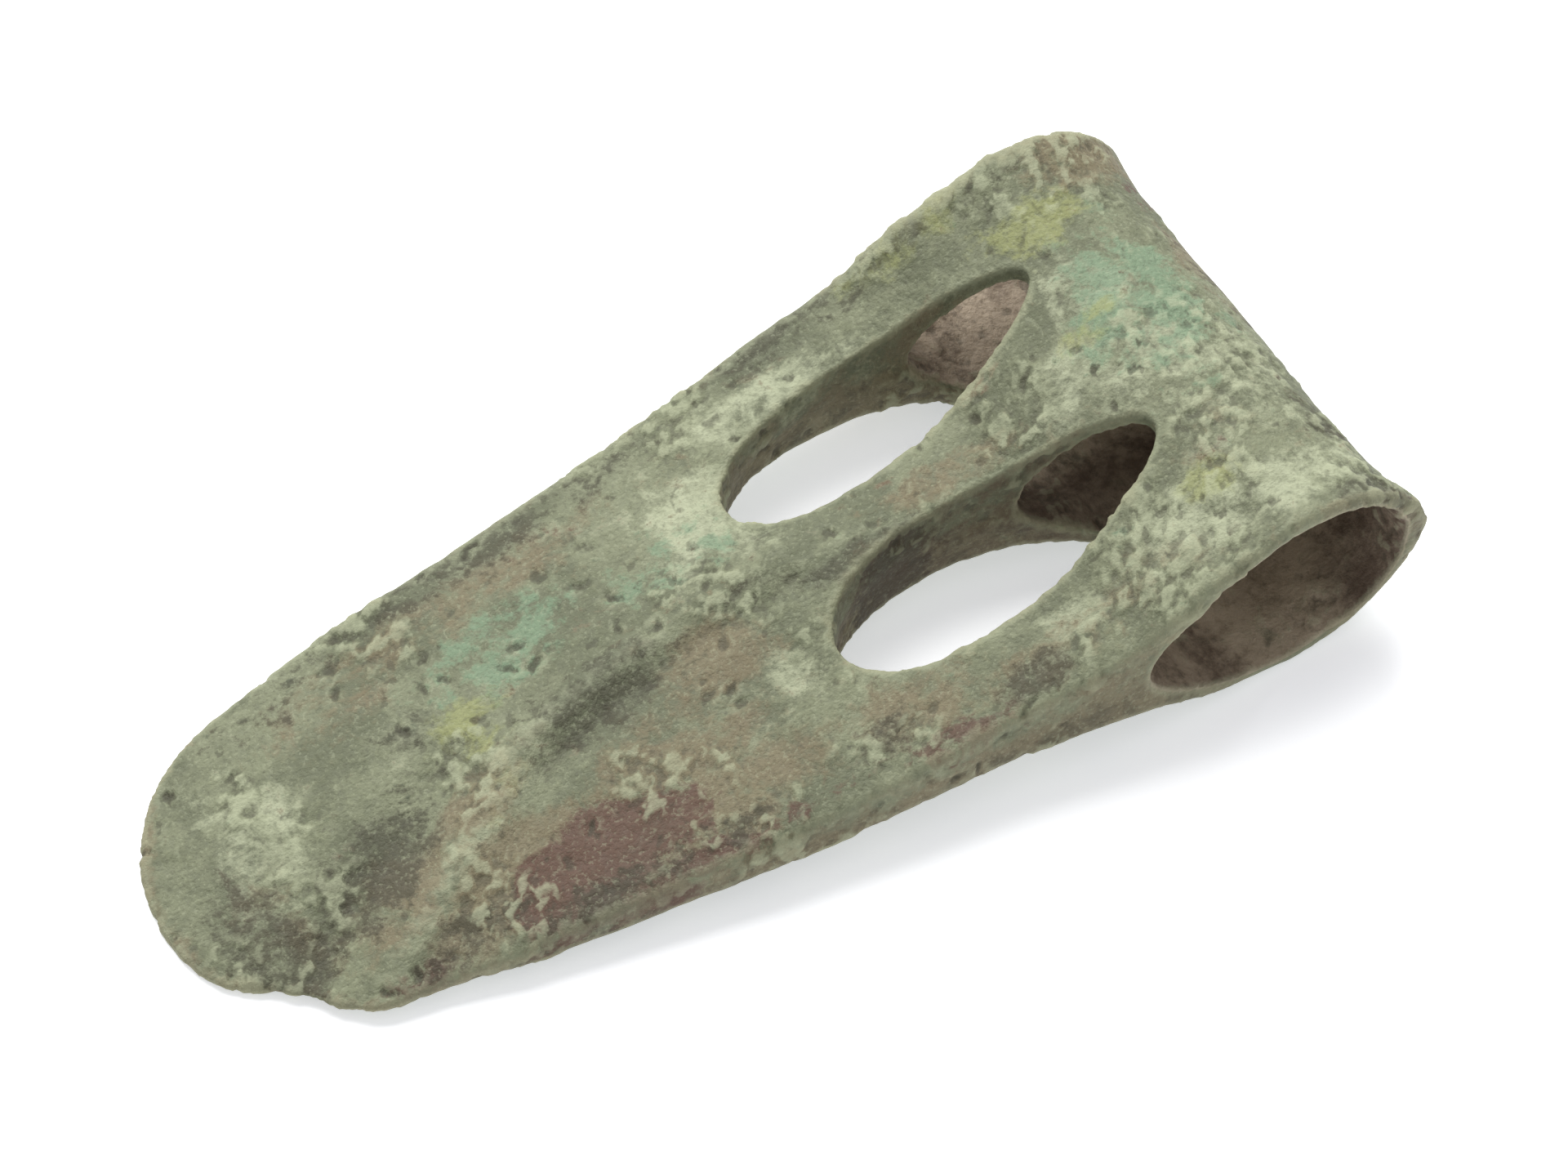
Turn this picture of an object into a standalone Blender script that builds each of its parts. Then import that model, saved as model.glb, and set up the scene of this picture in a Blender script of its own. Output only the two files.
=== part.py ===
"""Duck bill axe head: one bronze casting, worn and chipped, lying flat on its broad face.

The head has a shaft socket along its back, open at both ends, and a long blade that
narrows to a round cutting edge. Two windows go through it between the socket and the
blade, and open into the socket, so that three bars are left: two outer and one between.

Own axes of the casting, in metres: run is the way from the back of the socket to the
cutting edge and lies along -X, across is +Y, from the near mouth of the socket to the
far one, and height is +Z, measured from the middle of the casting's thickness.
"""
import math

import bmesh
import bpy
from mathutils import Euler, Vector

# Whole casting
LENGTH = 0.105
SOCKET_SPAN = 0.0466
SOCKET_THICKNESS = 0.0172

# Profile of the thickness along the run
BACK_ROUND = 0.0115
SOCKET_FALL_RUN = 0.0200
SOCKET_FALL_THICKNESS = 0.0134
SOCKET_DEPTH = 0.0280
SOCKET_FRONT_THICKNESS = 0.0092
NECK_RUN = 0.0480
NECK_THICKNESS = 0.0076
BEVEL_LENGTH = 0.0140
BLADE_THICKNESS = 0.0038
EDGE_THICKNESS = 0.0010

# Outline seen from above, each half measured from the middle line
END_FACE_RUN = 0.0310
WAIST_RUN = 0.0520
FAR_WAIST_HALF = 0.0211
NEAR_WAIST_HALF = 0.0217
BLADE_RUN = 0.0800
FAR_BLADE_HALF = 0.0189
NEAR_BLADE_HALF = 0.0181
CORNER_RUN = 0.0920
FAR_CORNER_HALF = 0.0173
NEAR_CORNER_HALF = 0.0160
EDGE_HALF = 0.0165
EDGE_BULGE = 0.0150
BACK_SAG = 0.0009

# Lip round each mouth of the socket
LIP = 0.0006
LIP_LENGTH = 0.0050

# Cross section of the blade: a low roof with a soft ridge, and rounded sides
SIDE_SHARE = 0.60
RIDGE_SOFTNESS = 0.12
SIDE_ROUND = 0.0010
RIB_HEIGHT = 0.0005
RIB_WIDTH = 0.0030
RIB_END_RUN = 0.0800

# Shaft socket, a bore of teardrop section
SOCKET_WALL = 0.0019
BACK_WALL = 0.0024
FRONT_WALL = 0.0022
BORE_TAPER = 0.30
MOUTH_FLARE = 0.0008
MOUTH_FLARE_LENGTH = 0.0040
FAR_NARROWING = 0.0014
FAR_NARROWING_LENGTH = 0.0140

# Windows, each from a back end to a front end, widest nearer the front and shorter in the lower face
WINDOW_BACK_RUN = 0.0155
NEAR_WINDOW_LOWER_BACK_RUN = 0.0200
FAR_WINDOW_LOWER_BACK_RUN = 0.0220
WINDOW_FRONT_RUN = 0.0465
NEAR_WINDOW_BACK_ACROSS = -0.0066
NEAR_WINDOW_FRONT_ACROSS = -0.0087
FAR_WINDOW_BACK_ACROSS = 0.0122
FAR_WINDOW_FRONT_ACROSS = 0.0086
NEAR_WINDOW_WIDTH = 0.0114
FAR_WINDOW_WIDTH = 0.0099
WINDOW_EGG = 0.28
WINDOW_DRAFT = 0.05
WINDOW_STEP_HEIGHT = 0.0010

# Worn notch in the cutting edge
NOTCH_ACROSS = -0.0109
NOTCH_DEPTH = 0.0031
NOTCH_WIDTH = 0.0038

# Flat spot that it lies on
REST_CUT = 0.0003
TILT_STEPS = 40

# Mesh density
BACK_STEPS = 14
ROW_SPACING = 0.0030
COLUMNS = 28
SIDE_STEPS = 3
RING_POINTS = 56
CUT_OVERSHOOT = 0.0040

BRONZE_COLOUR = (0.235, 0.275, 0.180, 1.0)
BRONZE_ROUGHNESS = 0.72
BRONZE_METALLIC = 0.25


def smooth_step(value, start, end):
    """Rises smoothly from 0 at start to 1 at end."""
    t = min(max((value - start) / (end - start), 0.0), 1.0)
    return t * t * (3.0 - 2.0 * t)


def curve_through(points, x):
    """A curve through points given in order of x, which never swings past them."""
    if x <= points[0][0]:
        return points[0][1]
    if x >= points[-1][0]:
        return points[-1][1]
    slopes = [(b[1] - a[1]) / (b[0] - a[0]) for a, b in zip(points, points[1:])]

    def tangent(index):
        if index == 0:
            return slopes[0]
        if index == len(points) - 1:
            return slopes[-1]
        before, after = slopes[index - 1], slopes[index]
        if before * after <= 0.0:
            return 0.0
        return 2.0 * before * after / (before + after)

    index = max(i for i, point in enumerate(points) if point[0] <= x)
    (x0, y0), (x1, y1) = points[index], points[index + 1]
    width = x1 - x0
    t = (x - x0) / width
    rise = t * t * (3.0 - 2.0 * t)
    into = tangent(index) * width * t * (1.0 - t) ** 2
    out = tangent(index + 1) * width * t * t * (1.0 - t)
    return y0 + (y1 - y0) * rise + into - out


def half_thickness(run):
    """Half the thickness on the middle line, round at the back and tapering to the edge."""
    if run < BACK_ROUND:
        return SOCKET_THICKNESS / 2 * math.sqrt(max(1.0 - (1.0 - run / BACK_ROUND) ** 2, 0.0))
    points = [
        (BACK_ROUND, SOCKET_THICKNESS),
        (SOCKET_FALL_RUN, SOCKET_FALL_THICKNESS),
        (SOCKET_DEPTH, SOCKET_FRONT_THICKNESS),
        (NECK_RUN, NECK_THICKNESS),
        (LENGTH - BEVEL_LENGTH, BLADE_THICKNESS),
        (LENGTH, EDGE_THICKNESS),
    ]
    return curve_through(points, run) / 2


def half_width(run, side):
    """Width of one half of the outline, straight over the socket and narrowing to the edge."""
    far = side > 0.0
    points = [
        (0.0, SOCKET_SPAN / 2),
        (END_FACE_RUN, SOCKET_SPAN / 2),
        (WAIST_RUN, FAR_WAIST_HALF if far else NEAR_WAIST_HALF),
        (BLADE_RUN, FAR_BLADE_HALF if far else NEAR_BLADE_HALF),
        (CORNER_RUN, FAR_CORNER_HALF if far else NEAR_CORNER_HALF),
        (LENGTH, EDGE_HALF),
    ]
    return curve_through(points, run)


def lip_share(side):
    """How far into the lip a place is, from 0 on the socket's body to 1 at a mouth."""
    return smooth_step(abs(side) * SOCKET_SPAN / 2, SOCKET_SPAN / 2 - LIP_LENGTH, SOCKET_SPAN / 2)


def edge_run(side):
    """Run of the cutting edge for a side from -1 to 1: half an ellipse with a worn notch."""
    bulge = EDGE_BULGE * (1.0 - math.sqrt(max(1.0 - side * side, 0.0)))
    offset = (side * EDGE_HALF - NOTCH_ACROSS) / NOTCH_WIDTH
    return LENGTH - bulge - NOTCH_DEPTH * math.exp(-offset * offset)


def run_at(nominal, side):
    """Real run of a row: the rows behind the neck follow the back, the others the edge."""
    if nominal < NECK_RUN:
        share = nominal / NECK_RUN
        sag = BACK_SAG * (1.0 - abs(side) ** 4)
        lip = LIP * lip_share(side) * (1.0 - smooth_step(nominal, 0.0, BACK_ROUND))
        return nominal + sag * (1.0 - share) - lip
    share = (nominal - NECK_RUN) / (LENGTH - NECK_RUN)
    return NECK_RUN + share * (edge_run(side) - NECK_RUN)


def height_at(nominal, side):
    """Height of the upper face over the middle plane."""
    thick = half_thickness(nominal)
    roof = smooth_step(nominal, SOCKET_FALL_RUN, NECK_RUN)
    slope = math.sqrt(side * side + RIDGE_SOFTNESS ** 2) - RIDGE_SOFTNESS
    thick *= 1.0 - (1.0 - SIDE_SHARE) * roof * slope
    rib_reach = smooth_step(nominal, SOCKET_DEPTH, NECK_RUN) * (1.0 - smooth_step(nominal, NECK_RUN, RIB_END_RUN))
    rib = RIB_HEIGHT * rib_reach * math.exp(-(side * half_width(nominal, side) / RIB_WIDTH) ** 2)
    socket = 1.0 - smooth_step(nominal, SOCKET_FALL_RUN, END_FACE_RUN)
    lip = LIP * lip_share(side) * socket * smooth_step(nominal, 0.0, BACK_ROUND)
    return thick + rib + lip


def nominal_runs():
    """Rows from the back to the edge, close together where the back is round."""
    rows = [BACK_ROUND * (1.0 - math.cos(math.pi / 2 * i / BACK_STEPS)) for i in range(BACK_STEPS)]
    count = max(round((LENGTH - BACK_ROUND) / ROW_SPACING), 8)
    rows += [BACK_ROUND + (LENGTH - BACK_ROUND) * i / count for i in range(count + 1)]
    return rows


def upper_points(nominal):
    """Points of the upper face of one row, from the near side to the far side."""
    def outline(side):
        return side * half_width(run_at(nominal, side), side)

    rounding = min(SIDE_ROUND, 0.6 * height_at(nominal, 1.0))
    width = half_width(run_at(nominal, 1.0), 1.0)
    inner = 1.0 - rounding / width
    sides = [(inner * math.sin(math.pi / 2 * (2.0 * i / COLUMNS - 1.0)), 0.0) for i in range(COLUMNS + 1)]
    for step in range(1, SIDE_STEPS + 1):
        angle = math.pi / 2 * step / SIDE_STEPS
        side = inner + (1.0 - inner) * math.sin(angle)
        drop = rounding * (1.0 - math.cos(angle))
        sides.append((side, drop))
        sides.insert(0, (-side, drop))
    return [Vector((-run_at(nominal, side), outline(side), height_at(nominal, side) - drop)) for side, drop in sides]


def loft(rings, close_ends):
    """A closed body through rings of points, each ring with as many points as the next."""
    mesh = bmesh.new()
    loops = [[mesh.verts.new(point) for point in ring] for ring in rings]
    count = len(loops[0])
    for first, second in zip(loops, loops[1:]):
        for i in range(count):
            j = (i + 1) % count
            mesh.faces.new((first[i], first[j], second[j], second[i]))
    for loop in close_ends(loops):
        mesh.faces.new(loop)
    bmesh.ops.remove_doubles(mesh, verts=mesh.verts, dist=0.000001)
    bmesh.ops.dissolve_degenerate(mesh, edges=mesh.edges, dist=0.000001)
    bmesh.ops.recalc_face_normals(mesh, faces=mesh.faces)
    return mesh


def as_object(name, mesh):
    """A named object in the scene from an edited mesh."""
    data = bpy.data.meshes.new(name)
    mesh.to_mesh(data)
    mesh.free()
    made = bpy.data.objects.new(name, data)
    bpy.context.collection.objects.link(made)
    return made


def bronze():
    """Old bronze under a dull green patina."""
    material = bpy.data.materials.new("patinated_bronze")
    material.use_nodes = True
    shader = material.node_tree.nodes["Principled BSDF"]
    shader.inputs["Base Color"].default_value = BRONZE_COLOUR
    shader.inputs["Roughness"].default_value = BRONZE_ROUGHNESS
    shader.inputs["Metallic"].default_value = BRONZE_METALLIC
    return material


def edge_strip(loops):
    """Quads that close the last row between its upper and lower points."""
    last = loops[-1]
    half = len(last) // 2
    return [(last[i], last[i + 1], last[-2 - i], last[-1 - i]) for i in range(half - 1)]


def flat_caps(loops):
    """One face on each end of a lofted cutter."""
    return [loops[0], loops[-1]]


def casting():
    """The solid casting, before its bore and windows are cut."""
    rings = []
    for nominal in nominal_runs():
        upper = upper_points(nominal)
        lower = [Vector((point.x, point.y, -point.z)) for point in reversed(upper)]
        rings.append(upper + lower)
    return as_object("axe_head", loft(rings, edge_strip))


def teardrop(across, grow):
    """One ring of the bore, full towards the back and narrower towards the blade."""
    reach = (SOCKET_DEPTH - FRONT_WALL - BACK_WALL) / 2 + grow
    rise = SOCKET_THICKNESS / 2 - SOCKET_WALL + grow
    middle = BACK_WALL + (SOCKET_DEPTH - FRONT_WALL - BACK_WALL) / 2
    ring = []
    for i in range(RING_POINTS):
        angle = 2 * math.pi * i / RING_POINTS
        height = rise * math.sin(angle) * (1.0 + BORE_TAPER * math.cos(angle)) / (1.0 + BORE_TAPER ** 2 / 2)
        ring.append(Vector((-middle + reach * math.cos(angle), across, height)))
    return ring


def bore_cutter():
    """The shaft socket's inside, flared at the near mouth and a little narrower at the far one."""
    end = SOCKET_SPAN / 2
    places = [
        (-end - CUT_OVERSHOOT, MOUTH_FLARE),
        (-end, MOUTH_FLARE),
        (-end + MOUTH_FLARE_LENGTH, 0.0),
        (end - FAR_NARROWING_LENGTH, 0.0),
        (end, -FAR_NARROWING),
        (end + CUT_OVERSHOOT, -FAR_NARROWING),
    ]
    rings = [teardrop(across, grow) for across, grow in places]
    return as_object("socket_bore", loft(rings, flat_caps))


def window_ring(back_run, back_across, front_across, width, height):
    """One ring of a window, an egg whose wide end is towards the blade."""
    start = Vector((-back_run, back_across, 0.0))
    end = Vector((-WINDOW_FRONT_RUN, front_across, 0.0))
    along = (end - start).normalized()
    sideways = Vector((-along.y, along.x, 0.0))
    reach = (end - start).length / 2
    grow = WINDOW_DRAFT * abs(height)
    ring = []
    for i in range(RING_POINTS):
        angle = 2 * math.pi * i / RING_POINTS
        spread = (width / 2 + grow) * math.sin(angle) * (1.0 + WINDOW_EGG * math.cos(angle))
        point = (start + end) / 2 + along * (reach + grow) * math.cos(angle) + sideways * spread
        ring.append(Vector((point.x, point.y, height)))
    return ring


def window_cutter(name, lower_back_run, back_across, front_across, width):
    """A window's inside, narrowest at half thickness and shorter in the lower face."""
    places = (
        (-SOCKET_THICKNESS, lower_back_run),
        (-WINDOW_STEP_HEIGHT, lower_back_run),
        (WINDOW_STEP_HEIGHT, WINDOW_BACK_RUN),
        (SOCKET_THICKNESS, WINDOW_BACK_RUN),
    )
    rings = [window_ring(back_run, back_across, front_across, width, height) for height, back_run in places]
    return as_object(name, loft(rings, flat_caps))


def lie_down(axe):
    """Turns the casting until its socket and its blade both touch the ground, and centres it."""
    socket = [vertex.co for vertex in axe.data.vertices if -vertex.co.x < NECK_RUN]
    blade = [vertex.co for vertex in axe.data.vertices if -vertex.co.x >= NECK_RUN]

    def lowest(points, tilt):
        return min(point.x * math.sin(tilt) + point.z * math.cos(tilt) for point in points)

    level, steep = 0.0, 2.0 * math.atan2(SOCKET_THICKNESS, LENGTH)
    for _ in range(TILT_STEPS):
        tilt = (level + steep) / 2
        if lowest(blade, tilt) > lowest(socket, tilt):
            level = tilt
        else:
            steep = tilt
    axe.rotation_euler = Euler((0.0, -tilt, 0.0))
    turn = axe.rotation_euler.to_matrix()
    corners = [turn @ vertex.co for vertex in axe.data.vertices]
    low = Vector([min(corner[i] for corner in corners) for i in range(3)])
    high = Vector([max(corner[i] for corner in corners) for i in range(3)])
    axe.location = Vector((-(low.x + high.x) / 2, -(low.y + high.y) / 2, -low.z - REST_CUT))


def ground_cutter():
    """A slab under the ground plane, which leaves a small flat spot on the casting."""
    mesh = bmesh.new()
    bmesh.ops.create_cube(mesh, size=1.0)
    bmesh.ops.scale(mesh, verts=mesh.verts, vec=(LENGTH * 1.5, SOCKET_SPAN * 1.5, SOCKET_THICKNESS))
    bmesh.ops.translate(mesh, verts=mesh.verts, vec=(0.0, 0.0, -SOCKET_THICKNESS / 2))
    return as_object("ground", mesh)


def cut(axe, cutter, follows):
    """Takes the cutter's shape out of the casting."""
    cutter.hide_render = True
    cutter.display_type = "WIRE"
    if follows:
        cutter.parent = axe
    modifier = axe.modifiers.new(cutter.name, "BOOLEAN")
    modifier.operation = "DIFFERENCE"
    modifier.solver = "EXACT"
    modifier.object = cutter


def build_axe_head():
    for old in list(bpy.data.objects):
        bpy.data.objects.remove(old)
    axe = casting()
    axe.data.materials.append(bronze())
    axe.data.shade_smooth()
    axe.data.set_sharp_from_angle(angle=math.radians(35.0))
    lie_down(axe)
    near = window_cutter(
        "near_window", NEAR_WINDOW_LOWER_BACK_RUN, NEAR_WINDOW_BACK_ACROSS, NEAR_WINDOW_FRONT_ACROSS,
        NEAR_WINDOW_WIDTH)
    far = window_cutter(
        "far_window", FAR_WINDOW_LOWER_BACK_RUN, FAR_WINDOW_BACK_ACROSS, FAR_WINDOW_FRONT_ACROSS, FAR_WINDOW_WIDTH)
    cut(axe, bore_cutter(), follows=True)
    cut(axe, near, follows=True)
    cut(axe, far, follows=True)
    cut(axe, ground_cutter(), follows=False)


build_axe_head()
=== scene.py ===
"""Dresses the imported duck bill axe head: its corroded surface, its patina and a plain studio round it."""

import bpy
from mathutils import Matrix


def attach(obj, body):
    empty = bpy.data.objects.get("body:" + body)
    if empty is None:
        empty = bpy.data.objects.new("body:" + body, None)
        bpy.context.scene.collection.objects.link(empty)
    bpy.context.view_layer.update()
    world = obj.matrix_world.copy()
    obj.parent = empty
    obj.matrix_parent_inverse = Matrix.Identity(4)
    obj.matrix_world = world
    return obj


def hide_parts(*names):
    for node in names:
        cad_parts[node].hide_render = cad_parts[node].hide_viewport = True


bl_info = {
    "name": "Duck bill axe head",
    "version": (1, 0, 0),
    "blender": (4, 5, 0),
    "location": "3D View > Sidebar > Axe head",
    "description": "Makes the corroded bronze casting and the studio that it lies in",
    "category": "Object",
}

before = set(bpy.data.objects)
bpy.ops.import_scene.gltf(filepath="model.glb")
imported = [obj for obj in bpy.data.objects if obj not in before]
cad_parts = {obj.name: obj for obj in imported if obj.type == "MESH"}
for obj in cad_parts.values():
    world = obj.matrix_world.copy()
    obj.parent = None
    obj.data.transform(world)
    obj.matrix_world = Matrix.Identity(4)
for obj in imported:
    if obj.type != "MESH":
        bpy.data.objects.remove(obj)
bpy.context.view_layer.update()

import math
from typing import NamedTuple

import bmesh
import bpy
import numpy as np
from bpy.props import FloatProperty, FloatVectorProperty, IntProperty, PointerProperty
from mathutils import Matrix, Vector

NODE = "axe_head"
BODY = "root"

MM = 0.001

# The head's own axes: run goes from the back of the socket to the edge, across goes from the near mouth to
# the far one, and height goes up through the casting. The head leans, as it rests on blade and socket.
LEAN = math.radians(5.182)

# Where run and height are 0, at the middle of the socket's back: x and z, in metres
BACK_AT = (0.05201, 0.00985)

# Run of the bore's middle line, in millimetres
BORE_RUN = 14.1

# Added to across, in millimetres, so that the bands that the cutting edge is looked for in count from 0
BAND_SHIFT = 30.0

# Points nearer to each other than this, in metres, are one point of the solid
MERGE_GAP = 1e-6

# How the shelter of a place is felt for: the number of rays, their length and their start over the surface
SHELTER_RAYS = 28
SHELTER_REACH = 0.012
SHELTER_LIFT = 0.0002

# How the curve of the surface is felt for: passes of blurring, and the rise over the blurred surface that
# counts as full
EDGE_PASSES = 24
EDGE_RISE = 0.00022
LUMP_PASSES = 4
LUMP_RISE = 0.00004

# How the cast rims wander from the solid's, in metres: the far mouth's upper lip and the back stand out a
# little more, and the lower back of the near mouth is worn in along the socket, and forwards and up
FAR_LIP = 0.00042
BACK_SWELL = 0.0003
MOUTH_WEAR_IN = 0.00035
MOUTH_WEAR_ROUND = 0.00021

# The near side bulges by its mouth and draws in beside its window: runs in millimetres, and shifts in metres
NEAR_SIDE_RUNS = (14.0, 22.0, 29.0, 38.0, 46.0, 52.0)
NEAR_SIDE_SHIFTS = (0.0, -0.00025, 0.0, 0.0007, 0.0002, 0.0)

# Numbers that the mesh carries at each of its points for the material
PALE = "pale"
VERDIGRIS = "verdigris"
OLIVE = "olive"
EARTH = "earth"
CUPRITE = "cuprite"
DARK = "dark"
SOIL = "soil"
# Painted shade inside the socket and on the middle bar's side
SHADE_IN_SOCKET = "painted_shade"
# Brown soil and painted shade where nearby surfaces close round a place
SHELTER_SHADE = "wall"
# Painted shade on the steep sides, the cutting edge and the tip of the near mouth's rim
SIDE_SHADE = "side"
CRUST = "crust"
PIT = "pit"
EDGE = "edge"
# Painted highlight on lumps and painted shade in the hollows between them, from how far each place stands out
LUMP_LIGHT_AND_SHADE = "lump"
STAINS = (PALE, VERDIGRIS, OLIVE, EARTH, CUPRITE, DARK)

# How strong the painted shade is in parts of the socket and on the middle bar's side, beside 1 at the mouth's
# back
SHADE_IN_FRONT = 0.7
SHADE_BEHIND_NEAR_WINDOW = 0.85
SHADE_BEHIND_FAR_WINDOW = 0.5
SHADE_ON_BAR = 0.55

# How dark the painted shade is on the cutting edge and the tip of the near mouth's rim, beside 1 low on the
# steep sides
EDGE_DARKNESS = 0.8
TIP_DARKNESS = 1.3

# The crust: how fine its regions and the grain are beside its lumps, and the noise that it grows between
CRUST_REGIONS = 0.16
CRUST_REGIONS_GROW = (0.47, 0.62)
LUMPS_GROW = (0.42, 0.60)
GRAIN_FINENESS = 2.4

# How far the whole surface sinks for each height of crust, so that the casting doesn't grow
CRUST_SINK = 0.35

# The pits: how fine their regions are beside their spacing, how they are pushed about, how many of them are
# chosen, and how far their bowls reach
PIT_REGIONS = 0.14
PIT_REGIONS_GROW = (0.42, 0.60)
PIT_PUSH_FINENESS = 1.1
PIT_PUSH = 1.6
PITS_CHOSEN = (0.35, 0.75)
PIT_BOWL = (0.05, 0.45)

# How far another seed moves the pattern sideways, beside 1 along the head
SEED_SIDEWAYS = 0.37

# The corrosion tree's numbers, and the settings that they are given from
RELIEF_INPUTS = {
    "Swell Height": "swell_height",
    "Swell Size": "swell_size",
    "Crust Height": "crust_height",
    "Crust Size": "crust_size",
    "Pit Depth": "pit_depth",
    "Pit Size": "pit_size",
    "Grain Height": "grain_height",
    "Seed": "seed",
}

# How far the noise at the edges of the stains swings, and how much its fine noise frays them
STAIN_SWING = 2.6
STAIN_FRAY = 1.2
TORN_FRAY = 1.0

# How much the soil counts where the patina shows through it
THIN_SOIL = 0.7

# How rough the patina is: everywhere, how far it varies, what crust adds, and the most
ROUGHNESS = 0.70
ROUGHNESS_SWING = 0.4
CRUST_ROUGHNESS = 0.15
ROUGHNESS_MOST = 0.97

# How strongly the patina mirrors what is in front of it
SHINE = 0.35

# The relief that is too fine for the mesh
BUMP_STRENGTH = 0.8
BUMP_DEPTH = 0.0003

# Where the camera looks, its sensor's width in millimetres, and the nearest that it sees, in metres
LOOK_AT = (0.00692, 0.00269, 0.00522)
SENSOR_WIDTH = 36.0
NEAREST_SEEN = 0.01

# Where the key light stands, in degrees and metres, and what the floor is like
KEY_AZIMUTH = 162.0
KEY_ELEVATION = 52.0
KEY_DISTANCE = 1.0
FLOOR_COLOUR = (0.93, 0.93, 0.93, 1.0)
FLOOR_GLOW_COLOUR = (0.92, 0.94, 1.0, 1.0)
FLOOR_ROUGHNESS = 0.9
WHITE = (1.0, 1.0, 1.0, 1.0)


def shade(red, green, blue):
    """A linear colour from the 0 to 255 numbers of a colour picker."""
    levels = []
    for level in (red, green, blue):
        share = level / 255
        levels.append(share / 12.92 if share <= 0.04045 else ((share + 0.055) / 1.055) ** 2.4)
    return tuple(levels)


class Patch(NamedTuple):
    """An oval patch on a face of the head, in millimetres and degrees along the head's own axes."""

    kind: str
    run: float
    across: float
    length: float
    width: float
    turn: float
    strength: float


class Stroke(NamedTuple):
    """A raised or hollow line on the upper face, through points of run and across, in millimetres."""

    points: tuple
    width: float
    height: float


class Noise(NamedTuple):
    """A noise of the patina: its shift away from the others, its scale and how it is broken up."""

    shift: tuple
    scale: float
    detail: float
    roughness: float
    distortion: float = 0.0


BROAD_NOISE = Noise((0.0, 0.0, 0.0), 90.0, 4.0, 0.55, 0.4)
MIDDLE_NOISE = Noise((0.11, 0.53, 0.27), 320.0, 5.0, 0.65, 0.3)
OTHER_NOISE = Noise((0.71, 0.23, 0.47), 210.0, 6.0, 0.65, 0.6)
THIRD_NOISE = Noise((0.43, 0.67, 0.03), 160.0, 6.0, 0.68, 0.8)
FINE_NOISE = Noise((0.37, 0.83, 0.19), 1100.0, 4.0, 0.65)
SPECK_NOISE = Noise((0.61, 0.13, 0.91), 2600.0, 2.0, 0.55)


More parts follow.
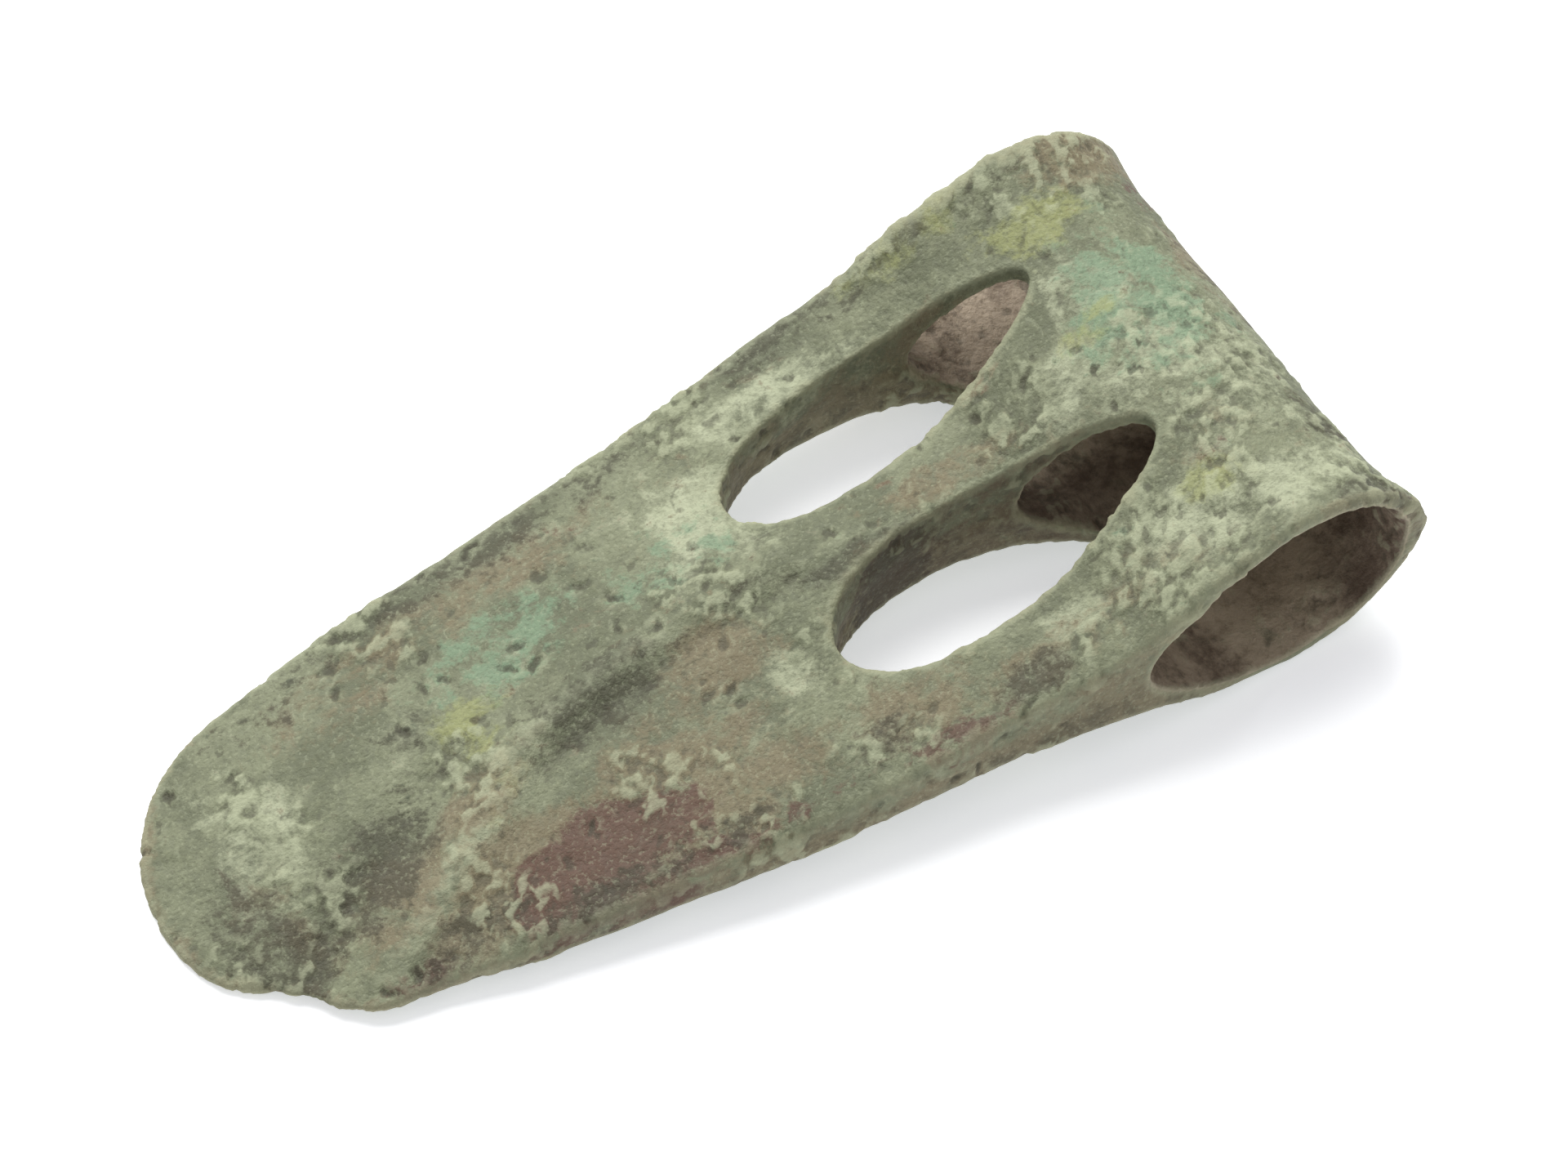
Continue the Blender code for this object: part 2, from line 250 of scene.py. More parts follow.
UPPER_PATCHES = (
    Patch(PALE, 8.0, -6.0, 7.0, 12.0, 0, 0.6),
    Patch(PALE, 8.1, -17.8, 6.0, 4.5, 0, 0.9),
    Patch(PALE, 13.0, 7.5, 4.5, 5.5, 0, 0.65),
    Patch(PALE, 15.0, -9.5, 3.5, 3.0, 0, 0.5),
    Patch(PALE, 16.0, 0.0, 7.0, 5.0, 0, 0.8),
    Patch(PALE, 17.5, -16.5, 6.0, 4.5, 0, 0.8),
    Patch(PALE, 29.5, -17.2, 4.5, 2.4, 0, 0.7),
    Patch(PALE, 38.5, 16.6, 10.0, 3.4, 0, 0.8),
    Patch(PALE, 47.5, 9.0, 8.5, 6.5, 15, 0.8),
    Patch(PALE, 50.5, -8.0, 4.5, 3.4, 0, 0.5),
    Patch(PALE, 55.1, -12.4, 5.0, 3.2, 0, 0.6),
    Patch(PALE, 65.2, -13.6, 4.5, 2.2, 0, 0.4),
    Patch(PALE, 76.0, 15.0, 5.0, 2.4, 0, 0.5),
    # Painted highlight along the crest of the raised strip
    Patch(PALE, 81.0, -7.1, 11.0, 2.5, 29, 0.75),
    Patch(PALE, 95.0, 4.0, 5.5, 8.0, 0, 0.75),
    Patch(VERDIGRIS, 9.9, 4.0, 7.0, 10.0, 0, 0.8),
    Patch(VERDIGRIS, 52.0, 7.5, 9.0, 4.5, 10, 0.5),
    Patch(VERDIGRIS, 69.1, 8.4, 9.0, 4.5, 10, 0.8),
    Patch(OLIVE, 12.4, 15.7, 5.5, 4.2, 10, 0.75),
    Patch(OLIVE, 14.0, 4.0, 3.6, 2.4, 20, 0.7),
    Patch(OLIVE, 15.0, -14.6, 3.0, 2.4, 0, 0.8),
    Patch(OLIVE, 22.0, 21.5, 8.0, 2.4, 0, 0.6),
    Patch(OLIVE, 75.4, 3.0, 4.2, 3.4, 0, 0.8),
    Patch(OLIVE, 77.5, -4.6, 5.5, 2.8, 29, 0.5),
    Patch(EARTH, 1.6, 6.5, 2.2, 6.0, 0, 0.7),
    Patch(EARTH, 5.5, 20.5, 6.5, 4.0, 0, 0.95),
    Patch(EARTH, 11.0, -11.3, 4.5, 4.2, 0, 0.6),
    Patch(EARTH, 23.0, -18.0, 5.0, 3.0, 0, 0.6),
    Patch(EARTH, 30.0, 0.8, 8.0, 2.2, 0, 0.75),
    Patch(EARTH, 36.0, -19.0, 9.0, 3.0, 0, 0.7),
    Patch(EARTH, 44.5, -16.5, 7.0, 3.5, 0, 0.9),
    Patch(EARTH, 55.5, -3.8, 6.0, 4.2, 0, 1.15),
    Patch(EARTH, 62.0, -8.0, 10.0, 5.5, 0, 0.8),
    Patch(EARTH, 62.0, -15.5, 13.0, 4.5, 0, 1.1),
    Patch(EARTH, 70.0, 14.5, 18.0, 3.0, 3, 0.8),
    Patch(EARTH, 77.5, -3.5, 6.0, 3.0, 20, 0.9),
    Patch(EARTH, 78.0, -12.0, 12.0, 5.0, 10, 1.1),
    Patch(EARTH, 84.0, 11.5, 7.0, 4.0, 0, 0.6),
    Patch(EARTH, 88.0, -8.0, 8.0, 5.0, 20, 0.9),
    Patch(EARTH, 97.5, -3.0, 4.0, 6.0, 0, 0.7),
    Patch(CUPRITE, 1.8, 15.5, 1.6, 2.6, 0, 0.8),
    Patch(CUPRITE, 12.0, -11.0, 2.6, 1.8, 0, 0.35),
    Patch(CUPRITE, 43.0, -20.9, 5.0, 1.6, 0, 0.8),
    Patch(CUPRITE, 72.0, -19.0, 20.0, 1.8, 0, 1.1),
    Patch(CUPRITE, 73.0, -14.2, 10.0, 4.6, 5, 1.6),
    Patch(CUPRITE, 90.0, -15.5, 6.0, 2.0, 0, 0.9),
    Patch(DARK, 1.8, 4.0, 2.0, 9.0, 0, 0.5),
    Patch(DARK, 2.2, -12.5, 2.6, 4.0, 0, 0.7),
    Patch(DARK, 4.0, -22.0, 4.0, 2.4, 0, 1.1),
    # Dark staining and painted shade along the socket's far rounded edge, this line and the next
    Patch(DARK, 15.0, 21.6, 15.0, 1.5, 0, 0.8),
    Patch(DARK, 30.0, 21.5, 12.0, 2.6, 0, 0.95),
    Patch(DARK, 35.2, -20.0, 4.5, 2.2, 0, 1.05),
    # Painted shade on the middle bar's flank that faces the near window
    Patch(DARK, 40.0, -1.8, 7.0, 1.6, 0, 1.3),
    Patch(DARK, 47.7, -17.6, 4.0, 2.4, 0, 0.9),
    # Painted shade on the near flank of the low ridge that runs on from the middle bar, this line and the
    # next
    Patch(DARK, 48.0, 0.2, 6.0, 1.6, 0, 0.6),
    Patch(DARK, 65.0, -1.6, 9.0, 4.2, 8, 1.0),
    Patch(DARK, 66.0, 18.0, 22.0, 2.6, 4, 0.9),
    Patch(DARK, 71.0, -17.2, 15.0, 2.2, -2, 1.1),
    Patch(DARK, 80.0, 5.5, 4.0, 2.4, 20, 0.7),
    Patch(DARK, 80.5, 1.0, 4.0, 2.4, 20, 0.6),
    Patch(DARK, 86.0, -13.8, 7.0, 2.6, 0, 0.9),
    # Painted shade in the hollow beside the raised strip
    Patch(DARK, 88.0, -4.2, 8.5, 4.6, 29, 1.35),
    Patch(DARK, 89.0, 13.5, 5.0, 2.4, 0, 0.6),
    Patch(DARK, 99.0, -5.5, 4.5, 9.5, 0, 1.15),
)

LOWER_PATCHES = (
    Patch(PALE, 4.0, 3.0, 4.0, 7.0, 0, 0.7),
    Patch(PALE, 60.0, 6.0, 9.0, 5.0, -15, 0.8),
    Patch(VERDIGRIS, 3.0, -16.0, 3.0, 4.0, 0, 0.9),
    Patch(VERDIGRIS, 16.0, -9.0, 9.0, 6.0, 20, 0.9),
    Patch(OLIVE, 82.0, -4.0, 7.0, 5.0, 0, 0.9),
    Patch(EARTH, 6.0, 14.0, 5.0, 5.0, 0, 0.7),
    Patch(EARTH, 28.0, 18.0, 9.0, 3.0, 0, 0.8),
    Patch(EARTH, 93.0, 7.0, 6.0, 4.0, 0, 0.8),
    Patch(CUPRITE, 52.0, -12.0, 6.0, 2.4, 10, 0.9),
    Patch(DARK, 70.0, -1.0, 6.0, 2.0, -12, 0.8),
)

STROKES = (
    Stroke(((71.0, -1.5), (82.0, -7.6), (92.0, -13.4)), 2.0, 0.60),
    Stroke(((79.0, 0.8), (88.0, -4.5), (96.0, -8.5)), 2.6, -0.60),
    Stroke(((74.0, -1.4), (66.0, 0.6), (56.0, 2.4), (46.0, 2.2)), 1.8, 0.35),
    Stroke(((72.0, -4.0), (64.0, -2.2), (54.0, -1.2), (47.0, -1.0)), 1.8, -0.40),
)


class CastingSettings(bpy.types.PropertyGroup):
    """How finely the casting is meshed and how much its edges are worn round."""

    grid: FloatProperty(
        name="Mesh grid", description="Size of one face of the casting's mesh",
        default=0.40 * MM, min=0.3 * MM, max=2 * MM, precision=5, unit="LENGTH")
    rounding: IntProperty(
        name="Rounding", description="Smoothing passes that wear the edges round", default=6, min=0, max=40)


class CorrosionSettings(bpy.types.PropertyGroup):
    """The relief that corrosion has left in the surface."""

    swell_height: FloatProperty(
        name="Swell height", description="How far the surface bulges and sinks broadly",
        default=0.22 * MM, min=0, max=1 * MM, precision=5, unit="LENGTH")
    swell_size: FloatProperty(
        name="Swell size", description="Width of one broad bulge",
        default=9 * MM, min=2 * MM, max=40 * MM, precision=4, unit="LENGTH")
    crust_height: FloatProperty(
        name="Crust height", description="How far the corrosion crust stands up",
        default=0.22 * MM, min=0, max=1 * MM, precision=5, unit="LENGTH")
    crust_size: FloatProperty(
        name="Crust size", description="Width of one lump of crust",
        default=1.7 * MM, min=0.5 * MM, max=10 * MM, precision=4, unit="LENGTH")
    pit_depth: FloatProperty(
        name="Pit depth", description="Depth of a corrosion pit",
        default=0.32 * MM, min=0, max=1 * MM, precision=5, unit="LENGTH")
    pit_size: FloatProperty(
        name="Pit spacing", description="Distance from one pit to the next where they are thick",
        default=2.3 * MM, min=0.5 * MM, max=10 * MM, precision=4, unit="LENGTH")
    grain_height: FloatProperty(
        name="Grain height", description="Roughness of the skin between lumps and pits",
        default=0.07 * MM, min=0, max=0.5 * MM, precision=5, unit="LENGTH")
    seed: IntProperty(
        name="Seed", description="Picks another pattern of corrosion", default=7, min=0, max=1000)


class PatinaSettings(bpy.types.PropertyGroup):
    """The colours of the patina."""

    green: FloatVectorProperty(
        name="Green", description="Main grey-green of the patina",
        default=shade(126, 130, 104), size=3, min=0, max=1, subtype="COLOR")
    deep_green: FloatVectorProperty(
        name="Deep green", description="Darker green between the pale patches",
        default=shade(102, 106, 83), size=3, min=0, max=1, subtype="COLOR")
    # Pale is also the painted highlight on lumps and on the raised strip's crest
    pale: FloatVectorProperty(
        name="Pale", description="Powdery pale grey-green, and painted highlight",
        default=shade(178, 183, 153), size=3, min=0, max=1, subtype="COLOR")
    verdigris: FloatVectorProperty(
        name="Verdigris", description="Cool blue-green patches",
        default=shade(118, 144, 116), size=3, min=0, max=1, subtype="COLOR")
    olive: FloatVectorProperty(
        name="Olive", description="Yellow-green patches",
        default=shade(146, 150, 98), size=3, min=0, max=1, subtype="COLOR")
    # Earth is also the brown of the painted shade on the steep sides
    earth: FloatVectorProperty(
        name="Earth", description="Brown soil stains, and painted shade on the steep sides",
        default=shade(123, 112, 88), size=3, min=0, max=1, subtype="COLOR")
    cuprite: FloatVectorProperty(
        name="Cuprite", description="Reddish oxide where the green has come away",
        default=shade(90, 62, 54), size=3, min=0, max=1, subtype="COLOR")
    # Dark is also painted shade: on the steep sides, in the hollows between lumps and in some dark patches
    dark: FloatVectorProperty(
        name="Dark", description="Dark corroded patches, and painted shade",
        default=shade(66, 64, 50), size=3, min=0, max=1, subtype="COLOR")
    # Painted shade: the dark brown that darkens parts of the socket and the middle bar's side, where shade
    # falls
    painted_shade: FloatVectorProperty(
        name="Painted shade", description="Dark brown painted shade in parts of the socket",
        default=shade(78, 62, 50), size=3, min=0, max=1, subtype="COLOR")
    worn: FloatVectorProperty(
        name="Worn", description="Smooth pale brown where edges have been rubbed",
        default=shade(144, 136, 106), size=3, min=0, max=1, subtype="COLOR")
    # Wall brown is soil and also painted shade in sheltered places
    wall: FloatVectorProperty(
        name="Wall", description="Brown soil and painted shade on the walls of the windows and the socket",
        default=shade(100, 88, 69), size=3, min=0, max=1, subtype="COLOR")
    soil: FloatVectorProperty(
        name="Soil", description="Light brown soil on the inside of the socket",
        default=shade(172, 156, 136), size=3, min=0, max=1, subtype="COLOR")


class StageSettings(bpy.types.PropertyGroup):
    """The floor, the light and the camera."""

    floor_size: FloatProperty(
        name="Floor size", description="Side of the floor",
        default=6.0, min=0.5, max=50, unit="LENGTH")
    floor_glow: FloatProperty(
        name="Floor glow", description="Light that the white floor gives off itself",
        default=0.47, min=0, max=2)
    sky: FloatProperty(
        name="Sky", description="Strength of the light from all round",
        default=0.46, min=0, max=5)
    key_power: FloatProperty(
        name="Key light", description="Power of the large soft light",
        default=14.3, min=0, max=500, unit="POWER")
    key_size: FloatProperty(
        name="Key size", description="Side of the large soft light",
        default=0.9, min=0.05, max=5, unit="LENGTH")
    azimuth: FloatProperty(
        name="Azimuth", description="Where the camera stands round the head",
        default=math.radians(-32.09), subtype="ANGLE")
    elevation: FloatProperty(
        name="Elevation", description="How far the camera looks down",
        default=math.radians(50.60), min=0, max=math.radians(89), subtype="ANGLE")
    distance: FloatProperty(
        name="Distance", description="From the camera to the head",
        default=0.85858, min=0.1, max=10, precision=4, unit="LENGTH")
    lens: FloatProperty(
        name="Lens", description="Focal length in millimetres",
        default=242.51, min=10, max=600, unit="CAMERA")


class Signal:
    """One number on its way through a node tree. Arithmetic on it adds the Math nodes that work it out."""

    def __init__(self, graph, socket):
        self.graph = graph
        self.socket = socket

    def math(self, operation, first, second):
        node = self.graph.add("ShaderNodeMath", {"operation": operation}, {0: first, 1: second})
        return Signal(self.graph, node.outputs[0])

    def __add__(self, other):
        return self.math("ADD", self, other)

    def __radd__(self, other):
        return self.math("ADD", other, self)

    def __sub__(self, other):
        return self.math("SUBTRACT", self, other)

    def __rsub__(self, other):
        return self.math("SUBTRACT", other, self)

    def __mul__(self, other):
        return self.math("MULTIPLY", self, other)

    def __rmul__(self, other):
        return self.math("MULTIPLY", other, self)

    def __truediv__(self, other):
        return self.math("DIVIDE", self, other)

    def __rtruediv__(self, other):
        return self.math("DIVIDE", other, self)

    def at_least(self, other):
        return self.math("MAXIMUM", self, other)

    def at_most(self, other):
        return self.math("MINIMUM", self, other)


class Graph:
    """A node tree that is being filled."""

    def __init__(self, tree):
        self.tree = tree

    def add(self, kind, settings=None, sockets=None):
        """Adds one node: its settings first, then the value or the link of each socket, by name or number."""
        node = self.tree.nodes.new(kind)
        for name, value in (settings or {}).items():
            setattr(node, name, value)
        for key, value in (sockets or {}).items():
            if isinstance(value, Signal):
                self.tree.links.new(value.socket, node.inputs[key])
            elif isinstance(value, bpy.types.NodeSocket):
                self.tree.links.new(value, node.inputs[key])
            else:
                node.inputs[key].default_value = value
        return node

    def signal(self, socket):
        return Signal(self, socket)

    def moved(self, place, offset):
        """The same place, shifted, so that two patterns of one kind don't fall on each other."""
        node = self.add("ShaderNodeVectorMath", {"operation": "ADD"}, {0: place, 1: offset})
        return node.outputs[0]

    def scaled(self, vector, amount):
        """The vector, made longer or shorter."""
        node = self.add("ShaderNodeVectorMath", {"operation": "SCALE"}, {0: vector, "Scale": amount})
        return node.outputs[0]

    def cloud(self, place, scale, detail=3.0, roughness=0.5, distortion=0.0):
        """A soft noise between about 0.2 and 0.8."""
        node = self.add(
            "ShaderNodeTexNoise", {"noise_dimensions": "3D"},
            {"Vector": place, "Scale": scale, "Detail": detail, "Roughness": roughness,
             "Distortion": distortion})
        return self.signal(node.outputs[0])

    def warped(self, place, scale, amount):
        """The same place, pushed about by a noise, so that round shapes become ragged."""
        noise = self.add(
            "ShaderNodeTexNoise", {"noise_dimensions": "3D"},
            {"Vector": place, "Scale": scale, "Detail": 2.0})
        centred = self.moved(noise.outputs["Color"], (-0.5, -0.5, -0.5))
        return self.moved(place, self.scaled(centred, amount))

    def cells(self, place, scale):
        """Distance from the nearest of many scattered points, and a random number for that point."""
        node = self.add(
            "ShaderNodeTexVoronoi", {"voronoi_dimensions": "3D", "feature": "F1"},
            {"Vector": place, "Scale": scale, "Randomness": 1.0})
        pick = self.add("ShaderNodeSeparateXYZ", None, {0: node.outputs["Color"]})
        return self.signal(node.outputs["Distance"]), self.signal(pick.outputs[0])

    def step(self, value, low, high):
        """0 below low, 1 above high, and a smooth rise between them."""
        node = self.add(
            "ShaderNodeMapRange", {"interpolation_type": "SMOOTHSTEP"},
            {"Value": value, "From Min": low, "From Max": high, "To Min": 0.0, "To Max": 1.0})
        return self.signal(node.outputs["Result"])

    def attribute(self, name):
        """A number that the mesh carries at each of its points."""
        node = self.add("ShaderNodeAttribute", {"attribute_type": "GEOMETRY", "attribute_name": name})
        return self.signal(node.outputs["Fac"])

    def tint(self, factor, below, above):
        """One colour laid over another. The Mix node's colours go into its sockets 6 and 7 and leave by 2."""
        sockets = {0: factor, 6: below, 7: above}
        return self.add("ShaderNodeMix", {"data_type": "RGBA", "clamp_factor": True}, sockets).outputs[2]


class Layer(NamedTuple):
    """A colour over the others, by a mask: where the mask starts and is full, and how strong it is there."""

    mask: Signal
    start: float
    full: float
    strength: float
    colour: tuple


def opaque(colour):
    """A colour property as the four numbers that a colour socket takes."""
    return (*colour, 1.0)


def smooth_rise(value, low, high):
    """0 below low, 1 above high, and a smooth rise between them, for arrays."""
    share = np.clip((value - low) / (high - low), 0.0, 1.0)
    return share * share * (3.0 - 2.0 * share)


def smooth_fall(value, low, high):
    """1 below low, 0 above high, and a smooth fall between them, for arrays."""
    return 1.0 - smooth_rise(value, low, high)


def vertex_rows(mesh, name):
    """One vector for each of the mesh's points: "co" gives its place, and "normal" the way it faces."""
    flat = np.empty(len(mesh.vertices) * 3, np.float32)
    mesh.vertices.foreach_get(name, flat)
    return flat.reshape(-1, 3).astype(float)


def set_points(mesh, points):
    """Moves the mesh's points."""
    mesh.vertices.foreach_set("co", points.astype(np.float32).ravel())
    mesh.update()


def store(mesh, name, values):
    """Keeps one number for each point in the mesh, for the material."""
    layer = mesh.attributes.get(name) or mesh.attributes.new(name, "FLOAT", "POINT")
    layer.data.foreach_set("value", values.astype(np.float32))


def leaning(along, up):
    """The share of a direction along the head's run and up through it, from its x and its z."""
    run = -math.cos(LEAN) * along - math.sin(LEAN) * up
    height = -math.sin(LEAN) * along + math.cos(LEAN) * up
    return run, height


def own_axes(points):
    """Run, across and height of points, in millimetres, along the head's own leaning axes."""
    run, height = leaning(points[:, 0] - BACK_AT[0], points[:, 2] - BACK_AT[1])
    return run / MM, points[:, 1] / MM, height / MM


def patch_cover(patch, run, across):
    """How strongly a patch covers each point: full in its middle, none well outside it."""
    turn = math.radians(patch.turn)
    far = (run - patch.run) * math.cos(turn) - (across - patch.across) * math.sin(turn)
    aside = (run - patch.run) * math.sin(turn) + (across - patch.across) * math.cos(turn)
    reach = np.sqrt((far / patch.length) ** 2 + (aside / patch.width) ** 2)
    return patch.strength * smooth_fall(reach, 0.35, 1.45)


def paint_patches(mesh, run, across, facing):
    """Gives every point its share of each stain, from the patches of the face that it is on."""
    upper = smooth_rise(facing, -0.55, -0.1)
    for kind in STAINS:
        cover = np.zeros(len(run))
        for patches, face in ((UPPER_PATCHES, upper), (LOWER_PATCHES, 1.0 - upper)):
            for patch in patches:
                if patch.kind == kind:
                    cover = np.maximum(cover, patch_cover(patch, run, across) * face)
        store(mesh, kind, cover)


def paint_soil_and_shade(mesh, run, across, height, normals):
    """Soil lies inside the socket, where the surface faces the bore's middle line; painted shade darkens
    parts of it.
    """
    facing_run, facing_up = leaning(normals[:, 0], normals[:, 2])
    ahead = run - BORE_RUN
    inwards = -(facing_run * ahead + facing_up * height) / np.hypot(ahead, height).clip(1.0)
    soil = smooth_rise(inwards, 0.15, 0.5) * smooth_fall(run, 25.0, 29.0)

    back_of_mouth = smooth_fall(run, 5.0, 14.0) * smooth_fall(across, -21.0, -8.0)
    front_of_mouth = smooth_rise(run, 15.0, 19.0) * smooth_fall(across, -18.0, -14.0)
    behind_near_window = smooth_rise(across, -15.0, -9.0) * smooth_fall(across, 0.0, 5.0)
    behind_far_window = smooth_rise(across, 4.0, 12.0)
    # Painted shade in the socket, strongest at the back of the near mouth
    painted_shade = soil * np.maximum.reduce([
        back_of_mouth * smooth_rise(height, -9.0, -5.5),
        front_of_mouth * SHADE_IN_FRONT,
        behind_near_window * SHADE_BEHIND_NEAR_WINDOW,
        behind_far_window * SHADE_BEHIND_FAR_WINDOW])

    # Painted shade on the middle bar's side that faces the near mouth
    facing_mouth = smooth_rise(-normals[:, 1], 0.5, 0.8)
    shade_on_bar = facing_mouth * smooth_rise(across, -8.0, -6.0) * smooth_fall(across, 2.0, 4.0)
    shade_on_bar *= smooth_rise(run, 16.0, 22.0) * smooth_fall(run, 46.0, 50.0)
    store(mesh, SOIL, soil)
    store(mesh, SHADE_IN_SOCKET, np.maximum(painted_shade, shade_on_bar * SHADE_ON_BAR))


def edge_ahead(run, across):
    """The run of the edge ahead of each point: the farthest of any point in the same band, 1 mm wide."""
    bands = (across + BAND_SHIFT).astype(int)
    farthest = np.zeros(bands.max() + 1)
    np.maximum.at(farthest, bands, run)
    return farthest[bands]


def paint_side_shade(mesh, run, across, height, facing):
    """Painted shade: the steep sides, the cutting edge and the tip of the near mouth's rim are darker than
    the faces.
    """
    steep = smooth_fall(np.abs(facing), 0.45, 0.9)
    low = smooth_fall(height, -1.5, 1.5)
    sides = steep * (0.5 + 0.5 * low) * smooth_rise(run, 10.0, 26.0)
    edge = smooth_fall(edge_ahead(run, across) - run, 0.3, 2.4) * smooth_rise(run, 80.0, 92.0)
    mouth_tip = smooth_fall(across, -22.9, -22.0) * smooth_fall(run, 5.0, 12.0)
    store(mesh, SIDE_SHADE, np.maximum.reduce([sides, edge * EDGE_DARKNESS, mouth_tip * TIP_DARKNESS]))


def stroke_rise(stroke, run, across):
    """The height that a stroke adds at each point, in millimetres."""
    nearest = np.full(len(run), np.inf)
    for (run_a, across_a), (run_b, across_b) in zip(stroke.points, stroke.points[1:]):
        leg = (run_b - run_a, across_b - across_a)
        squared = leg[0] ** 2 + leg[1] ** 2
        share = np.clip(((run - run_a) * leg[0] + (across - across_a) * leg[1]) / squared, 0.0, 1.0)
        gap = np.hypot(run - run_a - share * leg[0], across - across_a - share * leg[1])
        nearest = np.minimum(nearest, gap)
    return stroke.height * np.exp(-((nearest / stroke.width) ** 2))


def carve_strokes(mesh):
    """Raises and hollows the upper face along the strokes."""
    points = vertex_rows(mesh, "co")
    normals = vertex_rows(mesh, "normal")
    run, across, _ = own_axes(points)
    rise = np.zeros(len(run))
    for stroke in STROKES:
        rise += stroke_rise(stroke, run, across)
    upper = smooth_rise(normals[:, 2], 0.3, 0.7)
    set_points(mesh, points + normals * (rise * upper * MM)[:, None])


def wander(mesh):
    """Lets the rims swell and draw in a little, as the worn casting's do."""
    points = vertex_rows(mesh, "co")
    normals = vertex_rows(mesh, "normal")
    run, across, height = own_axes(points)

    upper = smooth_rise(normals[:, 2], 0.0, 0.5)
    far_lip = smooth_rise(across, 14.0, 23.0) * smooth_rise(run, 0.0, 6.0) * smooth_fall(run, 20.0, 32.0)
    moved = points + normals * (far_lip * upper * FAR_LIP)[:, None]

    back = smooth_fall(run, 2.0, 12.0) * smooth_rise(across, -14.0, -4.0) * smooth_fall(across, 19.0, 22.5)
    moved[:, 0] += back * BACK_SWELL

    by_mouth = smooth_fall(across, -23.0, -13.0)
    low_back = by_mouth * smooth_fall(run, 9.0, 15.0) * smooth_fall(height, -3.0, 2.0)
    moved[:, 0] -= low_back * MOUTH_WEAR_ROUND
    moved[:, 1] += low_back * MOUTH_WEAR_IN
    moved[:, 2] += low_back * MOUTH_WEAR_ROUND

    side = smooth_rise(-across, 12.0, 21.0)
    moved[:, 1] += side * np.interp(run, NEAR_SIDE_RUNS, NEAR_SIDE_SHIFTS)
    set_points(mesh, moved)


def merged_copy():
    """A plain object with the CAD node's mesh, its loose triangles joined."""
    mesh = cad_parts[NODE].data.copy()
    mesh.name = "axe_casting"
    mesh.materials.clear()
    shape = bmesh.new()
    shape.from_mesh(mesh)
    bmesh.ops.remove_doubles(shape, verts=shape.verts, dist=MERGE_GAP)
    shape.to_mesh(mesh)
    shape.free()
    casting = bpy.data.objects.new("axe_casting", mesh)
    bpy.context.scene.collection.objects.link(casting)
    return casting


def settle(thing):
    """Makes what the thing's modifiers give its own plain mesh, and takes the modifiers off."""
    depsgraph = bpy.context.evaluated_depsgraph_get()
    made = bpy.data.meshes.new_from_object(
        thing.evaluated_get(depsgraph), preserve_all_data_layers=True, depsgraph=depsgraph)
    old = thing.data
    thing.modifiers.clear()
    thing.data = made
    bpy.data.meshes.remove(old)
    made.name = thing.name


def remesh(casting, sizes):
    """Gives the casting an even fine mesh and wears its edges round."""
    even = casting.modifiers.new("even mesh", "REMESH")
    even.mode = "VOXEL"
    even.voxel_size = sizes.grid
    even.use_smooth_shade = True
    worn = casting.modifiers.new("worn edges", "SMOOTH")
    worn.factor = 0.5
    worn.iterations = sizes.rounding
    settle(casting)


def add_inputs(tree, inputs):
    """Gives a geometry tree its named inputs and its output, and returns the inputs' identifiers by name."""
    tree.interface.new_socket("Geometry", in_out="INPUT", socket_type="NodeSocketGeometry")
    tree.interface.new_socket("Geometry", in_out="OUTPUT", socket_type="NodeSocketGeometry")
    found = {}
    for name, kind in inputs.items():
        found[name] = tree.interface.new_socket(name, in_out="INPUT", socket_type=kind).identifier
    return found


def sphere_directions(count):
    """Directions spread evenly over a sphere."""
    turn = math.pi * (3.0 - math.sqrt(5.0))
    found = []
    for i in range(count):
        up = 1.0 - (2.0 * i + 1.0) / count
        out = math.sqrt(1.0 - up * up)
        found.append((out * math.cos(turn * i), out * math.sin(turn * i), up))
    return found


def shelter(graph, shape, normal):
    """How much of what a place faces is blocked close by, from 0 in the open to 1 deep inside."""
    spot = graph.add("GeometryNodeInputPosition").outputs[0]
    start = graph.moved(spot, graph.scaled(normal, SHELTER_LIFT))
    blocked, seen = None, None
    for direction in sphere_directions(SHELTER_RAYS):
        facing = graph.add("ShaderNodeVectorMath", {"operation": "DOT_PRODUCT"}, {0: normal, 1: direction})
        weight = graph.signal(facing.outputs["Value"]).at_least(0.0)
        ray = graph.add(
            "GeometryNodeRaycast", None,
            {"Target Geometry": shape, "Source Position": start, "Ray Direction": direction,
             "Ray Length": SHELTER_REACH})
        hit = weight * graph.signal(ray.outputs["Is Hit"])
        blocked = hit if blocked is None else blocked + hit
        seen = weight if seen is None else seen + weight
    return blocked / seen


def standing_out(graph, spot, normal, passes, full):
    """How far a place stands out from the blurred surface, 1 on a sharp edge and below 0 in a hollow."""
    blurred = graph.add(
        "GeometryNodeBlurAttribute", {"data_type": "FLOAT_VECTOR"}, {"Value": spot, "Iterations": passes})
    gap = graph.add("ShaderNodeVectorMath", {"operation": "SUBTRACT"}, {0: spot, 1: blurred.outputs[0]})
    rise = graph.add("ShaderNodeVectorMath", {"operation": "DOT_PRODUCT"}, {0: gap.outputs[0], 1: normal})
    return graph.signal(rise.outputs["Value"]) / full


def stored(graph, shape, values):
    """The shape with one number kept at each of its points for every name."""
    for name, signal in values.items():
        node = graph.add(
            "GeometryNodeStoreNamedAttribute", {"data_type": "FLOAT", "domain": "POINT"},
            {"Geometry": shape, "Name": name, "Value": signal})
        shape = node.outputs[0]
    return shape


